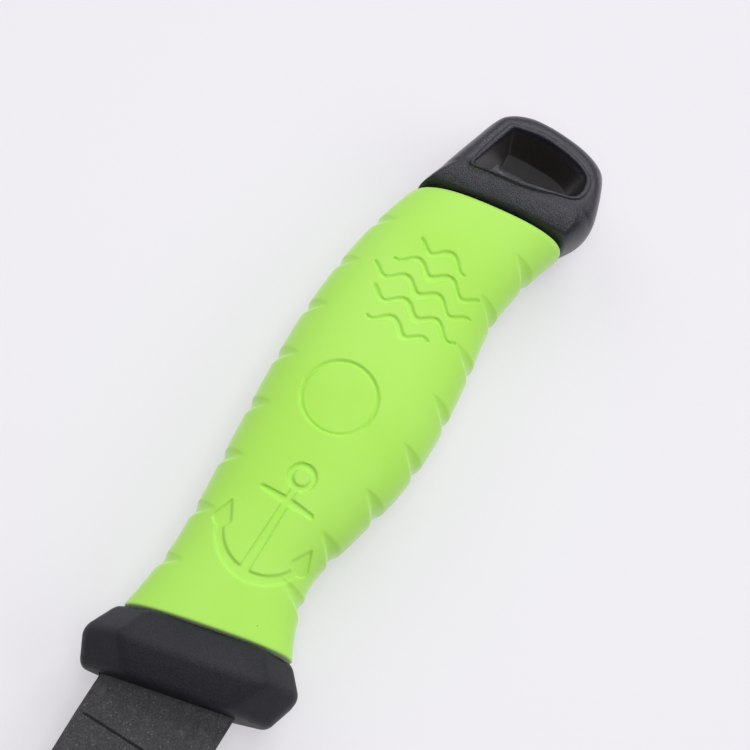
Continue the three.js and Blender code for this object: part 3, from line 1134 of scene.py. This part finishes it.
@dataclass
class Grip:
    """Soft sleeve: scooped flanks, rounded ends, a plain round recess and moulded-in lines."""

    spine: Outline = Outline(
        (
            (-10, -15.9),
            (-24, -14.4),
            (-36, -14.9),
            (-52, -16.4),
            (-68, -17.7),
            (-82, -17.9),
            (-96, -16.7),
            (-107, -14.4),
            (-113, -12.2),
        )
    )
    edge: Outline = Outline(
        (
            (-18, 16.2),
            (-25, 13.2),
            (-33, 11.5),
            (-44, 13.9),
            (-56, 16.6),
            (-68, 17.4),
            (-82, 16.3),
            (-95, 14.7),
            (-106, 16),
            (-117, 19.3),
        )
    )
    half: Outline = Outline(((-10, 9.4), (-28, 10.2), (-64, 12), (-96, 11), (-118, 9.6)))
    front_x: float = -14.1 / math.cos(GUARD_SLANT)
    front_shear: float = math.tan(GUARD_SLANT)
    rear_x: float = -113.6
    rear_shear: float = math.tan(BUTT_SLANT)
    squareness: float = 2.5
    wall: float = 2.9
    front_round: float = 0.5
    front_steps: int = 4
    rear_round: float = 1.6
    rear_steps: int = 6
    bore_steps: int = 16
    scoops: dict[Flank, Scoops] = field(
        default_factory=lambda: {
            Flank.EDGE: Scoops(first=-26.5, depth=0.8, reach=5.4),
            Flank.SPINE: Scoops(first=-20.6, depth=0.58, reach=3.8),
        }
    )
    seal: tuple[float, float, float] = (-63.2, -2.5, 7.3)
    seal_depth: float = 0.22
    seal_line: Point = (0.55, 0.3)
    line_depth: float = 0.5
    soft: float = 0.26
    face_turn: float = 0.93
    face_from: float = 0.45
    stations: int = 430
    face_steps: int = 132
    under_steps: int = 26
    flank_steps: int = 16
    crisp_degrees: float = 50.0
    motifs: tuple[Motif, ...] = field(
        default_factory=lambda: (Anchor(-35.5, -0.4).motif(), Ripples(-90.0, 0.2).motif())
    )

    def unit_section(self) -> list[Point]:
        """A squared ellipse of half size 1, with most of its points on the upper face.

        Returns:
            Its points, right round.
        """
        n = self.squareness

        def partner(a: float) -> float:
            """The other coordinate of the squared ellipse."""
            return max(0.0, 1.0 - abs(a) ** n) ** (1.0 / n)

        turn = self.face_turn
        low = partner(turn)
        section = [(y, partner(y)) for y in spread(turn, -turn, self.face_steps)]
        section += [(-partner(z), z) for z in spread(low, -low, self.flank_steps)[1:-1]]
        section += [(y, -partner(y)) for y in spread(-turn, turn, self.under_steps)]
        section += [(partner(z), z) for z in spread(-low, low, self.flank_steps)[1:-1]]
        return section

    def sunk(self, x: float, y: float) -> float:
        """How far the upper face is sunk at one point by the recess and the lines.

        Args:
            x: the point's x.
            y: the point's y.

        Returns:
            The depth, in millimetres.
        """
        depth = self.seal_at(x, y)
        for motif in self.motifs:
            x0, x1, y0, y1 = motif.box()
            if x0 < x < x1 and y0 < y < y1:
                depth = max(depth, self.line_depth * self._soft_edge(motif.reach(x, y)))
        return depth

    def _soft_edge(self, inside: float) -> float:
        """The share of its depth that a sunk form has near its edge."""
        return ease(inside / self.soft + 0.5)

    def seal_at(self, x: float, y: float) -> float:
        """How far the round recess and the line round its edge are sunk at one point.

        Args:
            x: the point's x.
            y: the point's y.

        Returns:
            The depth, in millimetres.
        """
        cx, cy, radius = self.seal
        inside = radius - math.hypot(x - cx, y - cy)
        width, depth = self.seal_line
        line = self._soft_edge(width / 2 - abs(inside - width / 4))
        return self.seal_depth * self._soft_edge(inside) + depth * line

    def ring(
        self, x: float, inset: float, section: Sequence[Point], detailed: bool
    ) -> list[Vector]:
        """One ring of the sleeve in a plane that slants with the sleeve's ends.

        Args:
            x: where the plane crosses the knife's axis.
            inset: how far the ring lies inside the outer surface.
            section: the unit section.
            detailed: whether scoops, recess and lines are cut.

        Returns:
            The ring's points.
        """
        share = clamp((self.front_x - x) / (self.front_x - self.rear_x))
        shear = mix(self.front_shear, self.rear_shear, share)
        low = self.spine.at(x - shear * self.spine.at(x)) + inset
        high = self.edge.at(x - shear * self.edge.at(x)) - inset
        half = self.half.at(x) - inset
        centre, wide = (low + high) / 2, (high - low) / 2
        points = []
        for cy, cz in section:
            y, z = centre + wide * cy, half * cz
            px = x - shear * y
            if detailed:
                flank = Flank.EDGE if y > centre else Flank.SPINE
                cut = self.scoops[flank].depth_at(px, wide - abs(y - centre))
                if cut > 0.0:
                    power = self.squareness - 1.0
                    out = Vector((abs(cy) ** power / wide, abs(cz) ** power / half)).normalized()
                    y -= flank.value * cut * out.x
                    z -= math.copysign(cut * out.y, cz)
                if cz > self.face_from:
                    z -= self.sunk(px, y)
                elif cz < -self.face_from:
                    z += self.seal_at(px, y)
            points.append(Vector((px, y, z)))
        return points

    def build(self, datum: Datum, rubber: Material) -> Object:
        """Models the sleeve, outside and inside.

        Args:
            datum: the knife's place in the frame.
            rubber: its finish.

        Returns:
            The sleeve.
        """
        section = self.unit_section()
        r = self.front_round
        front = [
            (self.front_x - r * (1 - math.cos(a)), r * (1 - math.sin(a)))
            for a in spread(0.0, QUARTER_TURN, self.front_steps)[:-1]
        ]
        skin = Skin(self.ring(*front[0], section, False))
        for x, inset in front[1:]:
            skin.extend(self.ring(x, inset, section, True))
        for x in spread(self.front_x - r, self.rear_x + self.rear_round, self.stations):
            skin.extend(self.ring(x, 0.0, section, True))
        r = self.rear_round
        for a in spread(0.0, QUARTER_TURN, self.rear_steps)[1:]:
            x, inset = self.rear_x + r * (1 - math.sin(a)), r * (1 - math.cos(a))
            skin.extend(self.ring(x, inset, section, False))
        for x in spread(self.rear_x, self.front_x, self.bore_steps):
            skin.extend(self.ring(x, self.wall, section, False))
        skin.join_ends()
        return make_piece(skin.bm, "grip_skin", datum, [rubber], self.crisp_degrees)


@dataclass
class Butt:
    """Black end block: a cove beside the grip, a crown, and a lanyard eye right through.

    Each corner of the eye has its x, its y and the length that its rounding takes. The lip's
    profile gives shares of the lip's width out from the eye and of its height.
    """

    outline: tuple[Point, ...] = (
        (-112.1, -12.5),
        (-116.5, -11.2),
        (-121, -9.95),
        (-126, -8.5),
        (-131, -7.0),
        (-134.3, -5.1),
        (-136.4, -1.6),
        (-137.1, 2.5),
        (-137.1, 7.5),
        (-136.6, 12.2),
        (-135.5, 15.6),
        (-134.2, 17.6),
        (-132.6, 18.6),
        (-129.5, 19.7),
        (-126.4, 20.75),
        (-124.3, 21.3),
        (-122.4, 21.35),
        (-120.4, 20.8),
        (-118.4, 19.7),
        (-116.7, 18.6),
    )
    eye: tuple[tuple[float, float, float], ...] = (
        (-119.1, -5.4, 1.0),
        (-130.4, -2.4, 0.6),
        (-132.0, 3.4, 3.0),
        (-131.2, 10.6, 3.0),
        (-129.2, 15.4, 2.4),
        (-124.2, 15.4, 2.4),
    )
    eye_centre: Point = (-126.2, 4.6)
    draft: float = 1.8
    flare: float = 0.1
    parting_step: float = 0.14
    joint_x: float = -113.9
    joint_shear: float = math.tan(BUTT_SLANT)
    cove: float = 6.4
    cove_run: float = 6.5
    cove_flat: float = 0.55
    crown: float = 9.8
    rear_half: float = 8.6
    rear_run: float = 23.0
    rear_limit: float = 1.3
    side_round: float = 6.2
    joint_round: float = 2.2
    round_limit: float = 0.92
    squareness: float = 2.3
    lip_width: float = 1.5
    lip_height: float = 0.5
    lip_profile: tuple[Point, ...] = (
        (0.86, 0.1),
        (0.76, 0.75),
        (0.64, 1.0),
        (0.40, 1.0),
        (0.24, 0.8),
        (0.10, 0.3),
        (0.0, -0.6),
    )
    around: int = 300
    outline_steps: int = 12
    joint_steps: int = 40
    corner_steps: int = 6
    corner_limit: float = 0.48
    side_rings: int = 14
    top_shares: tuple[float, ...] = (0.35, 0.7, 1.0)
    wall_rings: int = 8
    crisp_degrees: float = 40.0

    def run(self, x: float, y: float) -> float:
        """How far a point lies behind the joint with the grip."""
        return self.joint_x - (x + self.joint_shear * y)

    def half(self, x: float, y: float) -> float:
        """Half the butt's thickness over one point.

        Args:
            x: the point's x.
            y: the point's y.

        Returns:
            The height of the top above the middle plane.
        """
        run = max(0.0, self.run(x, y))
        if run < self.cove_run:
            climb = run / self.cove_run
            rise = mix(math.sin(climb * QUARTER_TURN), climb, self.cove_flat)
            return mix(self.cove, self.crown, rise)
        share = (run - self.cove_run) / (self.rear_run - self.cove_run)
        return mix(self.crown, self.rear_half, clamp(share, 0.0, self.rear_limit) ** 2)

    def outer_points(self) -> list[Vector]:
        """The outline at the middle plane, smooth through its points and straight at the joint.

        Returns:
            Points spaced evenly round it.
        """
        pts = [Vector(p) for p in self.outline]
        last = len(pts) - 1
        fine: list[Vector] = []
        for i in range(last):
            four = pts[max(i - 1, 0)], pts[i], pts[i + 1], pts[min(i + 2, last)]
            for t in spread(0.0, 1.0, self.outline_steps)[:-1]:
                fine.append(curve_point(*four, t))
        fine += [pts[last].lerp(pts[0], t) for t in spread(0.0, 1.0, self.joint_steps)[:-1]]
        following = fine[1:] + fine[:1]
        lengths = [(b - a).length for a, b in zip(fine, following)]
        pace = sum(lengths) / self.around
        out, gone, want = [], 0.0, 0.0
        for a, b, length in zip(fine, following, lengths):
            while want < gone + length and len(out) < self.around:
                out.append(a.lerp(b, (want - gone) / length))
                want += pace
            gone += length
        return out

    def eye_polygon(self) -> list[Vector]:
        """The eye's rim with its corners rounded.

        Returns:
            Its points, right round.
        """
        corners = [Vector(p[:2]) for p in self.eye]
        rim: list[Vector] = []
        for i, corner in enumerate(corners):
            a, b = (
                corner.lerp(end, min(self.corner_limit, self.eye[i][2] / (end - corner).length))
                for end in (corners[i - 1], corners[(i + 1) % len(corners)])
            )
            for t in spread(0.0, 1.0, self.corner_steps):
                rim.append(a.lerp(corner, t).lerp(corner.lerp(b, t), t))
        return rim

    def eye_hit(self, rim: Sequence[Vector], outer: Vector) -> Vector:
        """Where the line from the eye's centre to a point of the outline crosses the eye's rim.

        Args:
            rim: the eye's rim.
            outer: the point of the outline.

        Returns:
            The crossing.
        """
        centre = Vector(self.eye_centre)
        ray = outer - centre
        best = centre
        for i, a in enumerate(rim):
            side = rim[(i + 1) % len(rim)] - a
            cross = ray.x * side.y - ray.y * side.x
            if abs(cross) < 1e-9:
                continue
            gap = a - centre
            along = (gap.x * side.y - gap.y * side.x) / cross
            share = (gap.x * ray.y - gap.y * ray.x) / cross
            if along > 0 and -1e-6 <= share <= 1 + 1e-6:
                best = centre + ray * along
        return best

    def half_loops(self, rim_inset: float, wall_inset: float) -> list[list[Vector]]:
        """Loops of one half, from the outline at the middle plane to the eye's parting line.

        Args:
            rim_inset: how far the rim lies inside the upper rim's outline.
            wall_inset: how far the wall lies inside that outline at the parting line.

        Returns:
            The loops, with heights above the middle plane.
        """
        centre = Vector(self.eye_centre)
        rim = self.eye_polygon()
        trios = []
        for outer in self.outer_points():
            hit = self.eye_hit(rim, outer)
            inward = (centre - hit).normalized()
            trios.append((outer, hit, inward))

        def loop(place: Callable[[float, float], Point]) -> list[Vector]:
            """One loop round the butt.

            Args:
                place: from the way to the eye and the side's rounding, gives the distance in
                    from the outline and the share of the thickness.

            Returns:
                Its points.
            """
            points = []
            for outer, hit, inward in trios:
                edge = hit + inward * rim_inset
                long = (edge - outer).length
                back = ease(self.run(outer.x, outer.y) / self.cove_run)
                gap = mix(self.joint_round, self.side_round, back)
                far, rise = place(long, min(gap, self.round_limit * (long - self.lip_width)))
                p = outer.lerp(edge, far / long)
                points.append(Vector((p.x, p.y, self.half(p.x, p.y) * rise)))
            return points

        power = 2.0 / self.squareness
        loops = [loop(lambda long, gap: (0.0, 0.0))]
        for angle in spread(0.0, QUARTER_TURN, self.side_rings)[1:]:
            c, s = max(0.0, math.cos(angle)) ** power, math.sin(angle) ** power
            loops.append(loop(lambda long, gap: (gap * (1 - c), s)))
        for share in self.top_shares:
            loops.append(loop(lambda long, gap: (mix(gap, long - self.lip_width, share), 1.0)))
        lift = self.lip_height / self.crown
        for out, rise in self.lip_profile:
            loops.append(loop(lambda long, gap: (long - self.lip_width * out, 1.0 + lift * rise)))
        drop = 1.0 + lift * self.lip_profile[-1][1]
        for share in spread(0.0, 1.0, self.wall_rings)[1:]:
            points = []
            for _, hit, inward in trios:
                edge = hit + inward * rim_inset
                p = hit + inward * mix(rim_inset, wall_inset, share)
                top = self.half(edge.x, edge.y) * drop
                points.append(Vector((p.x, p.y, top * (1.0 - share))))
            loops.append(points)
        return loops

    def build(self, datum: Datum, plastic: Material, eye_wall_painted_light: Material) -> Object:
        """Models the butt as one skin that runs over the block and through the eye.

        Args:
            datum: the knife's place in the frame.
            plastic: its finish.
            eye_wall_painted_light: the smoother finish inside the eye, its colour lightened and
                browned as painted bounce light.

        Returns:
            The butt.
        """
        upper = self.half_loops(0.0, self.draft)
        lower = self.half_loops(self.draft - self.flare, self.draft - self.parting_step)
        skin = Skin(upper[0])
        lip = len(upper) - self.wall_rings
        for i, points in enumerate(upper[1:], start=1):
            skin.extend(points, int(i > lip))
        for i in range(len(lower) - 1, 0, -1):
            skin.extend([Vector((p.x, p.y, -p.z)) for p in lower[i]], int(i >= lip))
        skin.join_ends()
        return make_piece(skin.bm, "butt_skin", datum, [plastic, eye_wall_painted_light], self.crisp_degrees)


# Studio


@dataclass(frozen=True)
class Softbox:
    """One soft square lamp, in metres and watts, hung at an offset from what it faces."""

    name: str
    aim: Place
    offset: Place
    size: float
    watts: float

    def hang(self) -> None:
        """Hangs the lamp."""
        data = bpy.data.lights.new(self.name, "AREA")
        data.shape = "SQUARE"
        data.size = self.size
        data.energy = self.watts
        lamp = put_in_scene(self.name, data)
        offset = Vector(self.offset)
        lamp.location = Vector(self.aim) + offset
        lamp.rotation_euler = (-offset).to_track_quat("-Z", "Y").to_euler()


@dataclass
class Studio:
    """Floor, soft light and the camera at the photograph's angle."""

    lens: float = 91.2
    sensor: float = 36.0
    nearest: float = 0.01
    right: Place = (-0.51145, 0.84889, 0.13316)
    down: Place = (0.80076, 0.52706, -0.28472)
    forward: Place = (-0.3119, -0.039, -0.9493)
    stand: Place = (40.36, 14.65, 349.35)
    floor_size: float = 3.0
    room_colour: Colour = (0.98, 0.98, 1.0)
    room_strength: float = 0.19
    lamps: tuple[Softbox, ...] = (
        Softbox("box_behind_butt", (-0.08, 0.0, 0.01), (-0.92, -0.05, 1.04), 0.8, 7.8),
        Softbox("box_spine_side", (-0.08, 0.0, 0.01), (-0.45, -1.0, 0.8), 1.0, 5.3),
        Softbox("box_edge_side", (-0.08, 0.0, 0.01), (-0.45, 1.0, 0.85), 1.0, 5.7),
        Softbox("box_over_butt", (-0.14, 0.0, 0.02), (0.13, 0.03, 0.39), 0.18, 0.56),
    )

    def floor(self, board: Material) -> None:
        """Lays the pale floor under the knife.

        Args:
            board: its finish.
        """
        bm = bmesh.new()
        bmesh.ops.create_grid(bm, x_segments=2, y_segments=2, size=self.floor_size)
        mesh = bpy.data.meshes.new("floor")
        bm.to_mesh(mesh)
        bm.free()
        mesh.materials.append(board)
        floor = put_in_scene("floor", mesh)

    def camera(self, datum: Datum) -> None:
        """Sets the camera where the photograph was taken.

        Args:
            datum: the knife's place in the frame.
        """
        data = bpy.data.cameras.new("camera")
        data.lens = self.lens
        data.sensor_width = self.sensor
        data.clip_start = self.nearest
        camera = put_in_scene("camera", data)
        axes = Vector(self.right), -Vector(self.down), -Vector(self.forward)
        stand = datum.matrix() @ Vector(self.stand)
        camera.matrix_world = Matrix.Translation(stand) @ Matrix(axes).transposed().to_4x4()
        bpy.context.scene.camera = camera

    def light(self) -> None:
        """Lights the scene: a dim room and the soft lamps."""
        world = bpy.data.worlds.new("dim_room")
        world.use_nodes = True
        room = world.node_tree.nodes["Background"]
        room.inputs["Color"].default_value = (*self.room_colour, 1.0)
        room.inputs["Strength"].default_value = self.room_strength
        bpy.context.scene.world = world
        for lamp in self.lamps:
            lamp.hang()


def dress_hidden(name: str, material: Material) -> None:
    """Gives a CAD node that stays its finish.

    Args:
        name: the node's name.
        material: its finish.
    """
    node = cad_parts[name]
    if node.material_slots:
        for slot in node.material_slots:
            slot.material = material
    else:
        node.data.materials.append(material)
    log.info("%s keeps its solid and takes %s", name, material.name)


def settle(piece: Object, node: str) -> None:
    """Lets a piece stand for its CAD node and ride with the knife.

    Args:
        piece: the piece.
        node: the node's name.
    """
    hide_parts(node)
    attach(piece, "root")
    log.info("%s stands for %s with %d faces", piece.name, node, len(piece.data.polygons))


def main() -> None:
    """Builds the knife and its studio, piece by piece."""
    logging.basicConfig(level=logging.INFO, format="%(message)s")
    bpy.context.scene.view_settings.view_transform = "Standard"

    blade = Blade()
    datum = Datum.from_blade(blade.tip_x(), blade.spine_y)
    log.info("datum at %.3f, %.3f, %.3f mm", datum.x, datum.y, datum.z)

    studio = Studio()
    studio.camera(datum)
    studio.light()
    studio.floor(PaleBoard().material())

    plastic = GrainedPlastic().material()
    # The guard's plastic: rougher and less glossy, with its colour and glints darkened as painted
    # shade.
    guard_plastic_painted_shade = GrainedPlastic(
        name="matt_black_plastic_painted_shade",
        colour=(0.0070, 0.0068, 0.0105),
        painted_glint=(0.021, 0.020, 0.031),
        roughness=(0.50, 0.62),
        grain_depth=0.00012,
        specular=0.34,
    ).material()
    # The eye's inner walls: smoother plastic, its colour lightened and browned as painted bounce
    # light.
    eye_wall_painted_light = GrainedPlastic(
        name="smooth_black_plastic_painted_light",
        colour=(0.030, 0.026, 0.024),
        painted_glint=(0.045, 0.039, 0.036),
        roughness=(0.28, 0.38),
        grain_depth=0.00002,
        specular=0.18,
    ).material()
    core = GrainedPlastic(name="core_plastic", roughness=(0.5, 0.65)).material()
    bevel = GroundSteel("sharpened_bevel").material()
    steel = GroundSteel("pin_rod_steel").material()

    settle(blade.build(datum, BladeCoat().material(), bevel), "blade")
    settle(Guard().build(datum, guard_plastic_painted_shade), "guard")
    settle(Grip().build(datum, SoftRubber().material()), "grip_sleeve")
    settle(Butt().build(datum, plastic, eye_wall_painted_light), "butt")
    dress_hidden("handle_core", core)
    for name in ("tang_pin_front", "tang_pin_rear", "butt_pin"):
        dress_hidden(name, steel)


if __name__ == "__main__":
    main()
